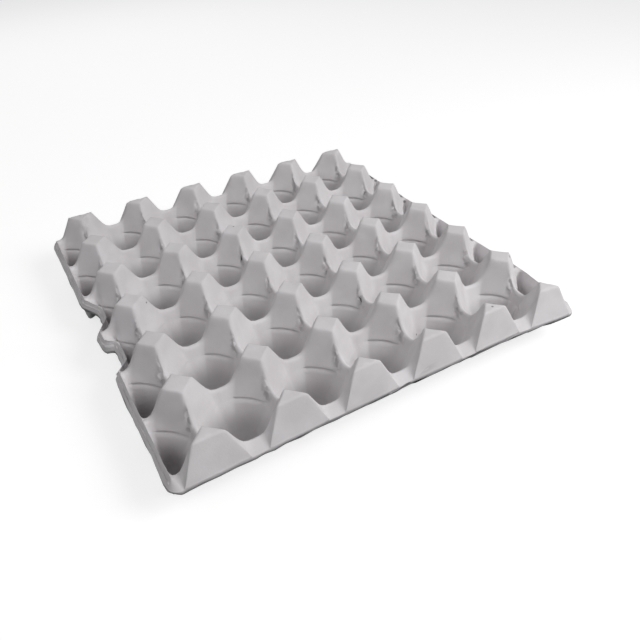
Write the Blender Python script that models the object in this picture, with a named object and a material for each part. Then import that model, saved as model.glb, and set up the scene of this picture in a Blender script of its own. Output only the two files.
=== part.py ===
"""Moulded pulp egg tray: thirty cups, five across and six deep, formed in one sheet of paper pulp.

A post with a small flat top stands at every corner of every cup. Ridges run down from each post
along X and Y and meet in low saddles, and four steep flat facets face into the cups around it.
Below a crease each cup turns round and narrows to a flat foot. The outer posts of the left and
right columns look out over half hollows, which an outer wall closes. The front and back rows of
posts are cut off flat. A narrow lip runs round the tray and slopes down to its bare edge.

Metres, +Z up. The origin lies at the centre of the tray, in the plane of its feet.
X runs across the tray and Y from front to back. A depth is measured down from the post tops.
"""

import math

import bmesh
import bpy

# Layout
CUPS_ACROSS = 5
CUPS_DEEP = 6
PITCH_X = 0.0485
PITCH_Y = 0.0470
SIDE_MARGIN = 0.02625  # from the outer posts to the edge of the lip
END_MARGIN = 0.0072  # from the end row of posts to the edge of the lip
TRAY_HEIGHT = 0.0480
WALL = 0.0020

# Posts and ridges
POST_TOP_HALF = 0.0100  # half the diagonal of a post's square top, out to its sharp corners
POST_TOP_EDGE = 0.0015  # how far the flat of the top stops short of those corners
POST_EDGE_DROP = 0.0018  # depth at which the softened top edge meets the facets
RIDGE_EDGE = 0.0015  # how far the ridge line is worn back from its sharp edge
RIDGE_RUN = 0.0087  # how far out a ridge goes while it falls to the saddle
SADDLE_DEPTH = 0.0180
END_FOOT_HALF = 0.0192  # half the width of an end post's cut face at the bare edge
CREST_HALF = 0.0030  # half the width of the saddle's soft crest
CREST_FALL = 0.0012  # how far the crest falls from its middle to its edges

# Cups
CREASE_DEPTH = 0.0265  # where a post's facet meets the round of the cup
CREASE_ARCH = 0.0012  # how much higher the crease stands in its middle
CREASE_INSET = 0.0038  # from the line of posts to the cup's wall at that depth
CREASE_SINK_SHARE = 0.5  # how much of the wall's thickness the crease lies lower on the underside
BELLY_DEPTH = 0.0380
BELLY_RADIUS = 0.0160
FLOOR_RADIUS = 0.0105
QUARTER_FACETS = 4  # facets round a quarter of a cup

# Outer walls and lip
LIP_DEPTH = 0.0235
LIP_WIDTH = 0.0035
CORNER_RADIUS = 0.0075
CORNER_STEPS = 4  # facets round a corner of the lip
WALL_LEAN = 0.0020  # how far the outer wall of a side hollow leans in on its way down

# Two finger notches in the left side, either side of one spur, with a blunt tab between them
NOTCH_INSET = 0.0075
NOTCH_FLOOR_DEPTH = 0.0390
NOTCH_FLOOR_HALF = 0.0030
BACK_NOTCH = (0.0460, 0.0400, 0.0235, 0.0090)  # places along Y: lip, inset, inset, lip
FRONT_NOTCH = (-0.0050, -0.0085, -0.0275, -0.0365)

PULP_COLOUR = (0.56, 0.54, 0.52, 1.0)
PULP_ROUGHNESS = 0.95

WELD_SHARE = 0.00001  # corners nearer together than this share of the pitch are one

# Places worked out from the sizes above
POST_X = CUPS_ACROSS * PITCH_X / 2
POST_Y = CUPS_DEEP * PITCH_Y / 2
RIM_X = POST_X + SIDE_MARGIN
RIM_Y = POST_Y + END_MARGIN
FLOOR_DEPTH = TRAY_HEIGHT - WALL
RIDGE_SLOPE = RIDGE_RUN / SADDLE_DEPTH
FLANK_SLOPE = (END_FOOT_HALF - POST_TOP_HALF) / LIP_DEPTH
CREST_DEPTH = SADDLE_DEPTH + CREST_FALL
WALL_SLOPE = (CREASE_INSET - CREST_HALF) / (CREASE_DEPTH - CREST_DEPTH)
END_SLOPE = END_MARGIN / LIP_DEPTH
LEAN_SLOPE = WALL_LEAN / (FLOOR_DEPTH - SADDLE_DEPTH)
BELLY_SHARE = (BELLY_DEPTH - CREASE_DEPTH) / (FLOOR_DEPTH - CREASE_DEPTH)
CREASE_RADIUS = (PITCH_X + PITCH_Y) / 4 - CREASE_INSET
NOTCH_INSETS = (0.0, NOTCH_INSET, NOTCH_INSET, 0.0)
MOST_EDGE_X = RIM_X - CORNER_RADIUS  # where the straight of the front and back edges ends
WELD = WELD_SHARE * PITCH_X
QUARTER_ANGLES = [
    math.radians(90) * (step + 0.5) / QUARTER_FACETS for step in range(QUARTER_FACETS)
]


def facet_reach(depth, skin):
    """How far a post's facet stands from its middle at a depth, as the sum of its X and Y distances."""
    return POST_TOP_HALF + RIDGE_SLOPE * depth - skin * math.hypot(1, 1, RIDGE_SLOPE)


def wall_inset(depth, skin):
    """How far a cup's wall stands from the line of posts at a depth."""
    return CREST_HALF + WALL_SLOPE * (depth - CREST_DEPTH) - skin * math.hypot(1, WALL_SLOPE)


def side_wall(depth, skin):
    """How far out the outer wall of a side hollow stands at a depth."""
    lean = LEAN_SLOPE * (depth - SADDLE_DEPTH)
    return RIM_X - LIP_WIDTH - lean + skin * math.hypot(1, LEAN_SLOPE)


def cup_profile(floor_depth, skin):
    """Radius and depth of the belly and of the floor's edge, moved out by the skin and mitred."""
    crease = (CREASE_RADIUS, CREASE_DEPTH)
    belly = (BELLY_RADIUS, CREASE_DEPTH + (floor_depth - CREASE_DEPTH) * BELLY_SHARE)
    floor = (FLOOR_RADIUS, floor_depth)
    moved = []
    for before, at, after in ((crease, belly, floor), (belly, floor, (0.0, floor_depth))):
        first = normal_of(before, at)
        second = normal_of(at, after)
        reach = skin / (1 + first[0] * second[0] + first[1] * second[1])
        moved.append((at[0] + reach * (first[0] + second[0]), at[1] + reach * (first[1] + second[1])))
    return moved


def normal_of(start, end):
    """The direction square to a line of the cup's section, pointing out and down."""
    run, fall = end[0] - start[0], end[1] - start[1]
    length = math.hypot(run, fall)
    return fall / length, -run / length


def end_cut(skin):
    """How far the underside's pocket in an end post stops short of the end row's line."""
    return skin * (math.hypot(1, END_SLOPE) - END_SLOPE)


def quarter_rings(skin, cut=0.0):
    """Rings of a cup's quarter, from the ridges down to the floor.

    Each ring holds four points, from the column line round to the row line, as the distances from
    those two lines and the depth. The upper side has one more ring, for its softened edges.
    """
    soft = RIDGE_EDGE if skin == 0 else 0.0
    top = facet_reach(skin, skin) - (POST_TOP_EDGE if skin == 0 else 0.0)
    foot = facet_reach(SADDLE_DEPTH + skin, skin) - soft
    saddle = SADDLE_DEPTH + skin
    rings = [[(0.0, foot, saddle), (0.0, top, skin), (top - cut, cut, skin), (foot, 0.0, saddle)]]
    if skin == 0:
        edge = facet_reach(POST_EDGE_DROP, skin) - RIDGE_EDGE
        crest = facet_reach(CREST_DEPTH, skin) - CREST_HALF
        rings.append(
            [
                (CREST_HALF, crest, CREST_DEPTH),
                (RIDGE_EDGE, edge, POST_EDGE_DROP),
                (edge, RIDGE_EDGE, POST_EDGE_DROP),
                (crest, CREST_HALF, CREST_DEPTH),
            ]
        )
    depth = CREASE_DEPTH + skin * CREASE_SINK_SHARE
    inset = wall_inset(depth, skin)
    reach = facet_reach(depth, skin)
    arch_reach = facet_reach(depth - CREASE_ARCH, skin)
    third = (reach - 2 * inset) / 3
    rings.append(
        [
            (inset, reach - inset, depth),
            (inset + third, arch_reach - inset - third, depth - CREASE_ARCH),
            (arch_reach - inset - third, inset + third, depth - CREASE_ARCH),
            (reach - inset, inset, depth),
        ]
    )
    for radius, ring_depth in cup_profile(FLOOR_DEPTH, skin):
        rings.append(
            [
                (PITCH_X / 2 - radius * math.cos(a), PITCH_Y / 2 - radius * math.sin(a), ring_depth)
                for a in QUARTER_ANGLES
            ]
        )
    return rings


class Sheet:
    """Gathers the faces of the tray, with every shared corner made once."""

    def __init__(self):
        self.mesh = bmesh.new()
        self.corners = {}

    def corner(self, x, y, depth):
        """The vertex at a place, made the first time that it is asked for."""
        key = tuple(round(value / WELD) for value in (x, y, depth))
        if key not in self.corners:
            self.corners[key] = self.mesh.verts.new((x, y, TRAY_HEIGHT - depth))
        return self.corners[key]

    def face(self, *places):
        """One face over the places given, with repeated corners left out."""
        corners = []
        for place in places:
            vertex = self.corner(*place)
            if vertex not in corners:
                corners.append(vertex)
        if len(corners) > 2:
            self.mesh.faces.new(corners)

    def bridge(self, upper, lower):
        """A band of faces between two closed loops of as many places."""
        for i in range(len(upper)):
            j = (i + 1) % len(upper)
            self.face(upper[i], upper[j], lower[j], lower[i])

    def stitch(self, inner, outer):
        """Triangles between two open lines of places, along the shorter diagonal each time."""
        i = j = 0
        while i < len(inner) - 1 or j < len(outer) - 1:
            ahead_inner = math.dist(inner[i + 1], outer[j]) if i < len(inner) - 1 else math.inf
            ahead_outer = math.dist(inner[i], outer[j + 1]) if j < len(outer) - 1 else math.inf
            if ahead_inner < ahead_outer:
                self.face(inner[i], inner[i + 1], outer[j])
                i += 1
            else:
                self.face(inner[i], outer[j + 1], outer[j])
                j += 1


def quarter_places(centre_x, centre_y, side_x, side_y, ring):
    """The places of one quarter of a ring, around the middle of its cup."""
    return [
        (centre_x + side_x * (PITCH_X / 2 - p), centre_y + side_y * (PITCH_Y / 2 - q), depth)
        for p, q, depth in ring
    ]


def add_cup(sheet, column, row, skin):
    """One whole cup, as four mirrored quarters of the same rings."""
    centre_x = (column + 0.5) * PITCH_X - POST_X
    centre_y = (row + 0.5) * PITCH_Y - POST_Y
    cuts = {1: end_cut(skin) if row == CUPS_DEEP - 1 else 0.0, -1: end_cut(skin) if row == 0 else 0.0}
    quarters = []
    for side_x, side_y in ((1, 1), (-1, 1), (-1, -1), (1, -1)):
        rings = [
            quarter_places(centre_x, centre_y, side_x, side_y, ring)
            for ring in quarter_rings(skin, cuts[side_y])
        ]
        quarters.append(rings if side_x == side_y else [ring[::-1] for ring in rings])
    loops = [sum(parts, []) for parts in zip(*quarters)]
    for upper, lower in zip(loops, loops[1:]):
        sheet.bridge(upper, lower)
    sheet.face(*loops[-1])


def lip_stops(side, row):
    """Places along Y and insets of the outer wall's top beside a hollow, from back to front."""
    back = (row + 1) * PITCH_Y - POST_Y
    front = row * PITCH_Y - POST_Y
    stops = [(back, 0.0), (front, 0.0)]
    for notch in (BACK_NOTCH, FRONT_NOTCH):
        if side < 0 and front < notch[1] < back:
            stops[1:1] = [(y, inset) for y, inset in zip(notch, NOTCH_INSETS)]
    return stops


def add_hollow(sheet, side, row, skin):
    """One half hollow between the outer posts and the tray's left or right wall."""
    centre_y = (row + 0.5) * PITCH_Y - POST_Y
    stops = lip_stops(side, row)
    notched = len(stops) > 2
    floor_depth = NOTCH_FLOOR_DEPTH if notched else FLOOR_DEPTH
    centre_x = POST_X + PITCH_X / 2
    back_cut = end_cut(skin) if row == CUPS_DEEP - 1 else 0.0
    front_cut = end_cut(skin) if row == 0 else 0.0
    back_rings = quarter_rings(skin, back_cut)
    front_rings = quarter_rings(skin, front_cut)
    profile = cup_profile(floor_depth, skin)
    ridge_rings = len(back_rings) - len(profile)
    loops = []
    for index, (back_ring, front_ring) in enumerate(zip(back_rings, front_rings)):
        if index < ridge_rings:
            inner = quarter_places(centre_x, centre_y, -1, 1, back_ring)[::-1]
            inner += quarter_places(centre_x, centre_y, -1, -1, front_ring)
            depth = back_ring[0][2]
            half_length = PITCH_Y / 2 - (0.0 if index == 0 else wall_inset(depth, skin))
            if skin == 0 and index == 1:
                half_length = PITCH_Y / 2 - CREST_HALF
        else:
            radius, depth = profile[index - ridge_rings]
            half_length = radius
            wall_x = side_wall(depth, skin) - (NOTCH_INSET if notched else 0.0)
            least = NOTCH_FLOOR_HALF + skin
            half_width = max(wall_x - (centre_x - radius), least)
            angles = [math.pi - a for a in QUARTER_ANGLES[::-1]] + [math.pi + a for a in QUARTER_ANGLES]
            inner = [
                (wall_x + half_width * math.cos(a), centre_y + radius * math.sin(a), depth)
                for a in angles
            ]
        outer = []
        for y, inset in stops:
            shrunk = centre_y + (y - centre_y) * half_length / (PITCH_Y / 2)
            deep_inset = NOTCH_INSET if notched and index >= ridge_rings - 1 else inset
            outer.append((side_wall(depth, skin) - deep_inset, shrunk, depth))
        if index == 0:
            outer = [(x, y, SADDLE_DEPTH + skin) for x, y, _ in outer]
        loops.append(inner + outer[::-1])
    loops = [[(side * x, y, depth) for x, y, depth in loop] for loop in loops]
    for upper, lower in zip(loops, loops[1:]):
        sheet.bridge(upper, lower)
    sheet.face(*loops[-1])


def add_post_tops(sheet, skin):
    """The flat tops of the posts, or on the underside the ceilings of their pockets."""
    half = quarter_rings(skin)[0][1][1]
    cut = end_cut(skin)
    for column in range(CUPS_ACROSS + 1):
        x = column * PITCH_X - POST_X
        for row in range(1, CUPS_DEEP):
            y = row * PITCH_Y - POST_Y
            places = ((x + half, y), (x, y + half), (x - half, y), (x, y - half))
            sheet.face(*[(a, b, skin) for a, b in places])
        for end in (-1, 1):
            y = end * POST_Y
            line = y - end * cut
            sheet.face((x + half - cut, line, skin), (x, y - end * half, skin), (x - half + cut, line, skin))


def rounded_corners(depth):
    """The four rounded corners of the lip, each from the front or back edge round to the side."""
    corner_x, corner_y = RIM_X - CORNER_RADIUS, RIM_Y - CORNER_RADIUS
    corners = {}
    for side in (-1, 1):
        for end in (-1, 1):
            angles = [math.radians(90) * step / CORNER_STEPS for step in range(CORNER_STEPS + 1)]
            corners[side, end] = [
                (
                    side * (corner_x + CORNER_RADIUS * math.sin(a)),
                    end * (corner_y + CORNER_RADIUS * math.cos(a)),
                    depth,
                )
                for a in angles
            ]
    return corners


def flank_reach(depth, skin):
    """Half the width of an end post's cut face at a depth."""
    return POST_TOP_HALF + FLANK_SLOPE * depth - skin * math.hypot(1, FLANK_SLOPE)


def add_end(sheet, end, skin):
    """The cut faces of an end row's posts and the sloping shelves between them, out to the edge."""
    first = quarter_rings(skin, end_cut(skin))[0]
    foot = first[3][0]
    top, cut = first[2][0], first[2][1]
    saddle = SADDLE_DEPTH + skin
    lip = LIP_DEPTH + skin
    line = end * POST_Y
    face_line = end * (POST_Y + END_SLOPE * lip - skin * math.hypot(1, END_SLOPE))
    edge_line = end * RIM_Y
    inner_foot = flank_reach(lip, skin)
    edge_foot = flank_reach(LIP_DEPTH, 0.0)
    last = None
    for column in range(CUPS_ACROSS + 1):
        x = column * PITCH_X - POST_X
        sides = {}
        for side in (-1, 1):
            edge_x = max(-MOST_EDGE_X, min(MOST_EDGE_X, x + side * edge_foot))
            face_x = edge_x if skin == 0 else x + side * inner_foot
            sides[side] = (
                (x + side * foot, line, saddle),
                (x + side * top, line - end * cut, skin),
                (face_x, edge_line if skin == 0 else face_line, lip),
                (edge_x, edge_line, lip),
            )
        left, right = sides[-1], sides[1]
        sheet.face(left[1], right[1], right[2], left[2])
        sheet.face(left[0], left[1], left[2])
        sheet.face(right[0], right[2], right[1])
        sheet.face(left[2], right[2], right[3], left[3])
        if last:
            sheet.face(last[0], left[0], left[2], last[2])
            sheet.face(last[2], left[2], left[3], last[3])
        last = right


def add_side(sheet, side, skin):
    """The lip along the left or right side, with its rounded corners."""
    saddle = SADDLE_DEPTH + skin
    lip = LIP_DEPTH + skin
    inner, outer = [], []
    for row in reversed(range(CUPS_DEEP)):
        stops = lip_stops(side, row)
        for y, inset in stops[:-1]:
            inner.append((side * (side_wall(saddle, skin) - inset), y, saddle))
            outer.append((side * (RIM_X - inset), y, lip))
    inner.append((side * side_wall(saddle, skin), -POST_Y, saddle))
    corners = rounded_corners(lip)
    back, front = corners[side, 1], corners[side, -1]
    outer = [back[-1]] + outer[1:] + [front[-1]]
    for i in range(len(inner) - 1):
        sheet.face(inner[i], inner[i + 1], outer[i + 1], outer[i])
    first = quarter_rings(skin, end_cut(skin))[0]
    foot_x = side * (POST_X + first[3][0])
    edge_x = side * min(MOST_EDGE_X, POST_X + flank_reach(LIP_DEPTH, 0.0))
    for end, corner, start in ((1, back, inner[0]), (-1, front, inner[-1])):
        foot = (foot_x, end * POST_Y, saddle)
        edge = (edge_x, end * RIM_Y, lip)
        if skin:
            face_line = end * (POST_Y + END_SLOPE * lip - skin * math.hypot(1, END_SLOPE))
            low = (side * (POST_X + flank_reach(lip, skin)), face_line, lip)
        else:
            low = edge
        sheet.face(foot, start, low)
        sheet.stitch([low, start], [edge] + corner)


def edge_loop(depth):
    """The whole edge of the tray at a depth, once round."""
    corners = rounded_corners(depth)
    feet = []
    for column in range(CUPS_ACROSS + 1):
        x = column * PITCH_X - POST_X
        for side in (-1, 1):
            foot = x + side * flank_reach(LIP_DEPTH, 0.0)
            feet.append(max(-MOST_EDGE_X, min(MOST_EDGE_X, foot)))
    sides = {}
    for side in (-1, 1):
        places = []
        for row in reversed(range(CUPS_DEEP)):
            places += [(side * (RIM_X - inset), y, depth) for y, inset in lip_stops(side, row)[:-1]]
        sides[side] = places[1:]
    loop = [(x, RIM_Y, depth) for x in feet]
    loop += corners[1, 1] + sides[1] + corners[1, -1][::-1]
    loop += [(x, -RIM_Y, depth) for x in feet[::-1]]
    loop += corners[-1, -1] + sides[-1][::-1] + corners[-1, 1][::-1]
    return loop


def add_skin(sheet, skin):
    """One face of the pulp sheet: its upper side, or its underside where a wall's thickness is given."""
    for column in range(CUPS_ACROSS):
        for row in range(CUPS_DEEP):
            add_cup(sheet, column, row, skin)
    for side in (-1, 1):
        for row in range(CUPS_DEEP):
            add_hollow(sheet, side, row, skin)
        add_side(sheet, side, skin)
    add_post_tops(sheet, skin)
    for end in (-1, 1):
        add_end(sheet, end, skin)


def pulp_material():
    """Dry grey paper pulp."""
    material = bpy.data.materials.new("pulp")
    material.use_nodes = True
    shader = material.node_tree.nodes["Principled BSDF"]
    shader.inputs["Base Color"].default_value = PULP_COLOUR
    shader.inputs["Roughness"].default_value = PULP_ROUGHNESS
    shader.inputs["Metallic"].default_value = 0.0
    return material


def main():
    for old in list(bpy.data.objects):
        bpy.data.objects.remove(old, do_unlink=True)
    sheet = Sheet()
    add_skin(sheet, 0.0)
    add_skin(sheet, WALL)
    sheet.bridge(edge_loop(LIP_DEPTH), edge_loop(LIP_DEPTH + WALL))
    bmesh.ops.recalc_face_normals(sheet.mesh, faces=sheet.mesh.faces)
    mesh = bpy.data.meshes.new("tray")
    sheet.mesh.to_mesh(mesh)
    sheet.mesh.free()
    mesh.materials.append(pulp_material())
    tray = bpy.data.objects.new("tray", mesh)
    bpy.context.scene.collection.objects.link(tray)


main()
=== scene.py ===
"""A moulded pulp egg tray on a plain pale floor.

The tray is one sheet of grey paper pulp. One cup is built as a mesh of four mirrored quarters,
and a node tree repeats it over the tray. The half hollows at the sides, the cut ends and the lip are
built around those cups, and the underside is a second skin one wall lower. Both skins are closed
along the bare edge and then made a little uneven, as pulp is.

Metres, +Z up. X runs across the tray and Y from front to back. A depth is measured down from the
post tops. Distances p and q are measured from the nearest column line and row line of posts. A
skin's sink is how far below the upper side of the sheet it lies.
"""

import logging
import math
from dataclasses import dataclass, field
from enum import Enum

import bmesh
import bpy
from mathutils import Matrix, Vector

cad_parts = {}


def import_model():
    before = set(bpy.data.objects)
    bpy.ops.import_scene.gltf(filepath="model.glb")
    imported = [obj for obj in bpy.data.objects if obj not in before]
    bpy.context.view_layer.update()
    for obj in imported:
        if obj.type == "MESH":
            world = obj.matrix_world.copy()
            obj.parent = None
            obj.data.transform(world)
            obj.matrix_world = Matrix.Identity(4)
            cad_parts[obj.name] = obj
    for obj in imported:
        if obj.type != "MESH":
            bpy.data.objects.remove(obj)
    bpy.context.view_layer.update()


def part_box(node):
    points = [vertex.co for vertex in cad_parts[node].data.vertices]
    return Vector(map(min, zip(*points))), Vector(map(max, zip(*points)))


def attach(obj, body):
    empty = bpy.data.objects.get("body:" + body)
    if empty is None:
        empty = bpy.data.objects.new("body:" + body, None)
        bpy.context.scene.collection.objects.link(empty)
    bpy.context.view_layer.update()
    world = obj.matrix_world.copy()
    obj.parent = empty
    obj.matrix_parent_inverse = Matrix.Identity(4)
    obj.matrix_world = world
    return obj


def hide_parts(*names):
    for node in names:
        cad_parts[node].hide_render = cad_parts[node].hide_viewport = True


log = logging.getLogger("egg_tray")

Place = tuple[float, float, float]
Ring = list[Place]
Section = tuple[float, float, float]
Colour = tuple[float, float, float, float]
Shares = tuple[tuple[float, ...], ...]


class Skin(Enum):
    """The two faces of the pulp sheet."""

    UPPER = "upper"
    UNDER = "under"


class Side(Enum):
    """The two sides with half hollows, by their sign along X."""

    LEFT = -1
    RIGHT = 1


class End(Enum):
    """The two cut ends, by their sign along Y."""

    FRONT = -1
    BACK = 1


@dataclass(frozen=True)
class TraySizes:
    """The sizes that the two skins are worked out from, in metres."""

    cups_across: int = 5
    cups_deep: int = 6
    pitch_x: float = 0.0485
    pitch_y: float = 0.0470
    side_margin: float = 0.02625
    end_margin: float = 0.0072
    height: float = 0.0480
    wall: float = 0.0020
    top_half: float = 0.0100
    top_edge: float = 0.0011
    edge_drop: float = 0.0016
    ridge_edge: float = 0.0008
    ridge_run: float = 0.0087
    saddle_depth: float = 0.0180
    end_foot: float = 0.0192
    crest_half: float = 0.0019
    crest_fall: float = 0.0012
    crease_depth: float = 0.0265
    crease_arch: float = 0.0010
    crease_inset: float = 0.0038
    groove_width: float = 0.0013
    groove_depth: float = 0.0013
    belly_depth: float = 0.0380
    belly_radius: float = 0.0160
    floor_radius: float = 0.0105
    lip_depth: float = 0.0235
    lip_width: float = 0.0035
    corner_radius: float = 0.0075
    wall_lean: float = 0.0012
    notch_inset: float = 0.0075
    notch_floor_depth: float = 0.0390
    notch_floor_half: float = 0.0030
    back_notch: tuple[float, ...] = (0.0430, 0.0285, 0.0140, 0.0010)
    front_notch: tuple[float, ...] = (-0.0100, -0.0165, -0.0370, -0.0445)

    @property
    def half_x(self) -> float:
        """Half the pitch along X."""
        return self.pitch_x / 2

    @property
    def half_y(self) -> float:
        """Half the pitch along Y."""
        return self.pitch_y / 2

    @property
    def post_x(self) -> float:
        """Where the outer columns of posts stand along X."""
        return self.cups_across * self.pitch_x / 2

    @property
    def post_y(self) -> float:
        """Where the end rows of posts stand along Y."""
        return self.cups_deep * self.pitch_y / 2

    @property
    def rim_x(self) -> float:
        """The tray's edge along X."""
        return self.post_x + self.side_margin

    @property
    def rim_y(self) -> float:
        """The tray's edge along Y."""
        return self.post_y + self.end_margin

    @property
    def floor_depth(self) -> float:
        """Depth of the upper side of the cups' floors."""
        return self.height - self.wall

    @property
    def bowl_top(self) -> float:
        """Radius of a cup's bowl at the crease."""
        return (self.pitch_x + self.pitch_y) / 4 - self.crease_inset

    @property
    def crest_depth(self) -> float:
        """Depth at which a saddle's soft crest turns into the wall of the cup."""
        return self.saddle_depth + self.crest_fall

    @property
    def ridge_slope(self) -> float:
        """How far a ridge runs out for each unit that it falls."""
        return self.ridge_run / self.saddle_depth

    @property
    def end_slope(self) -> float:
        """How far a cut end runs out for each unit that it falls."""
        return self.end_margin / self.lip_depth

    def facet_reach(self, depth: float, sink: float) -> float:
        """How far from its post a facet stands at a depth, along X and Y together."""
        slope = self.ridge_slope
        return self.top_half + slope * depth - sink * math.sqrt(2 + slope * slope)

    def wall_inset(self, depth: float, sink: float) -> float:
        """How far a cup's wall stands from the line of posts at a depth."""
        slope = (self.crease_inset - self.crest_half) / (self.crease_depth - self.crest_depth)
        return self.crest_half + slope * (depth - self.crest_depth) - sink * math.hypot(1, slope)

    def side_wall(self, depth: float, sink: float) -> float:
        """How far out the outer wall of a side hollow stands.

        Args:
            depth: Depth at which it is measured.
            sink: The skin's sink.

        Returns:
            The distance from the middle of the tray along X.
        """
        lean = self.wall_lean / (self.floor_depth - self.saddle_depth)
        inward = lean * (depth - self.saddle_depth)
        return self.rim_x - self.lip_width - inward + sink * math.hypot(1, lean)

    def end_cut(self, sink: float) -> float:
        """How far the pocket in an end post stops short of the end row's line."""
        return sink * (math.hypot(1, self.end_slope) - self.end_slope)

    def middle_x(self, column: float) -> float:
        """The middle of a column of cups along X."""
        return (column + 0.5) * self.pitch_x - self.post_x

    def middle_y(self, row: float) -> float:
        """The middle of a row of cups along Y."""
        return (row + 0.5) * self.pitch_y - self.post_y


@dataclass(frozen=True)
class Fineness:
    """How finely one skin's cage is divided before it is smoothed.

    Each stretch of a quarter's ring, and the facets and the border below it, are divided at shares
    of their length. A bowl's sections are given by their share of the depth and of roundness.
    """

    columns: Shares
    ridge_columns: Shares
    facet_rows: tuple[float, ...]
    bowl_shares: tuple[tuple[float, float], ...]
    border_rows: tuple[float, ...]
    wall_columns: int

    def column(self, stretch: int) -> int:
        """The column at which a stretch of a quarter's ring starts."""
        return sum(len(shares) for shares in self.columns[:stretch])


WHOLE = ((1.0,),) * 5
FINE = Fineness(
    columns=((1.0,), (0.12, 0.60, 1.0), (0.5, 1.0), (0.40, 0.88, 1.0), (1.0,)),
    ridge_columns=((1.0,), (0.50, 0.86, 1.0), (0.5, 1.0), (0.14, 0.50, 1.0), (1.0,)),
    facet_rows=(0.30, 0.62, 0.90, 1.0),
    bowl_shares=((0.34, 0.40), (0.74, 0.80), (0.95, 0.96)),
    border_rows=(0.10, 0.55, 0.92, 1.0),
    wall_columns=6,
)
PLAIN = Fineness(
    columns=WHOLE,
    ridge_columns=WHOLE,
    facet_rows=(1.0,),
    bowl_shares=((0.55, 0.60), (0.96, 0.96)),
    border_rows=(0.5, 1.0),
    wall_columns=2,
)


def between(start: Place, end: Place, share: float) -> Place:
    """The place at a share of the way from one place to another."""
    return tuple(a + (b - a) * share for a, b in zip(start, end))


def blended(start: Ring, end: Ring, share: float) -> Ring:
    """The line at a share of the way from one line to another."""
    return [between(a, b, share) for a, b in zip(start, end)]


def divided(ring: Ring, columns: Shares) -> Ring:
    """A line of places with each stretch divided.

    Args:
        ring: The line's places.
        columns: For each stretch, the shares of its length at which it is divided.

    Returns:
        The finer line.
    """
    places = [ring[0]]
    for start, end, shares in zip(ring, ring[1:], columns):
        places += [between(start, end, share) for share in shares]
    return places


def even(count: int) -> tuple[float, ...]:
    """The shares that divide a stretch into as many even parts."""
    return tuple((step + 1) / count for step in range(count))


def new_object(name: str, data: bpy.types.ID) -> bpy.types.Object:
    """Makes an object of a mesh, a lamp or a camera.

    Args:
        name: The object's name.
        data: What it shows.

    Returns:
        The new object, linked to the scene.
    """
    thing = bpy.data.objects.new(name, data)
    bpy.context.scene.collection.objects.link(thing)
    return thing


def settled(thing: bpy.types.Object, name: str) -> bpy.types.Object:
    """Puts a plain mesh in the place of an object with modifiers.

    Args:
        thing: The object, which is removed afterwards.
        name: Name of the new object and its mesh.

    Returns:
        The new object.
    """
    graph = bpy.context.evaluated_depsgraph_get()
    mesh = bpy.data.meshes.new_from_object(thing.evaluated_get(graph))
    thing.modifiers.clear()
    bpy.data.objects.remove(thing, do_unlink=True)
    mesh.name = name
    return new_object(name, mesh)


class Cage:
    """A mesh gathered face by face, in which every shared corner is made once."""

    def __init__(self, height: float, weld: float) -> None:
        """Starts an empty cage.

        Args:
            height: Height from which depths are measured down.
            weld: Places nearer than this are one corner.
        """
        self.height = height
        self.weld = weld
        self.mesh = bmesh.new()
        self.sharpness = self.mesh.edges.layers.float.new("crease_edge")
        self.raggedness = self.mesh.verts.layers.float.new("ragged")
        self.corners: dict[tuple[int, ...], bmesh.types.BMVert] = {}

    def corner(self, place: Place) -> bmesh.types.BMVert:
        """The vertex at a place, made the first time that it is asked for.

        Args:
            place: Place (x, y, depth).

        Returns:
            The vertex.
        """
        key = tuple(round(value / self.weld) for value in place)
        if key not in self.corners:
            self.corners[key] = self.mesh.verts.new((place[0], place[1], self.height - place[2]))
        return self.corners[key]

    def face(self, *places: Place) -> None:
        """Adds one face, with repeated corners left out.

        Args:
            places: Its corners in order.
        """
        corners = list(dict.fromkeys(self.corner(place) for place in places))
        if len(corners) > 2:
            self.mesh.faces.new(corners)

    def band(self, upper: Ring, lower: Ring, closed: bool = True) -> None:
        """Adds a band of faces between two lines of as many places.

        Args:
            upper: One line.
            lower: The other line.
            closed: Whether the lines run once round.
        """
        count = len(upper)
        for i in range(count if closed else count - 1):
            j = (i + 1) % count
            self.face(upper[i], upper[j], lower[j], lower[i])

    def bands(self, levels: list[Ring]) -> None:
        """Adds the bands of faces between closed lines that follow each other."""
        for upper, lower in zip(levels, levels[1:]):
            self.band(upper, lower)

    def sharpen(self, line: Ring, amount: float) -> None:
        """Makes the edges along a line sharper.

        Args:
            line: Places along the edges.
            amount: Edge crease, from 0 for soft to 1 for sharp.
        """
        for start, end in zip(line, line[1:]):
            edge = self.mesh.edges.get((self.corner(start), self.corner(end)))
            if edge is not None:
                edge[self.sharpness] = amount

    def roughen(self, line: Ring) -> None:
        """Marks the places where the pulp is ragged, where the finish also paints jagged shade."""
        for place in line:
            self.corner(place)[self.raggedness] = 1.0

    def finish(self, name: str) -> bpy.types.Object:
        """Turns the cage into an object.

        Args:
            name: The object's name.

        Returns:
            The new object.
        """
        mesh = bpy.data.meshes.new(name)
        self.mesh.to_mesh(mesh)
        self.mesh.free()
        return new_object(name, mesh)


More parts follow.
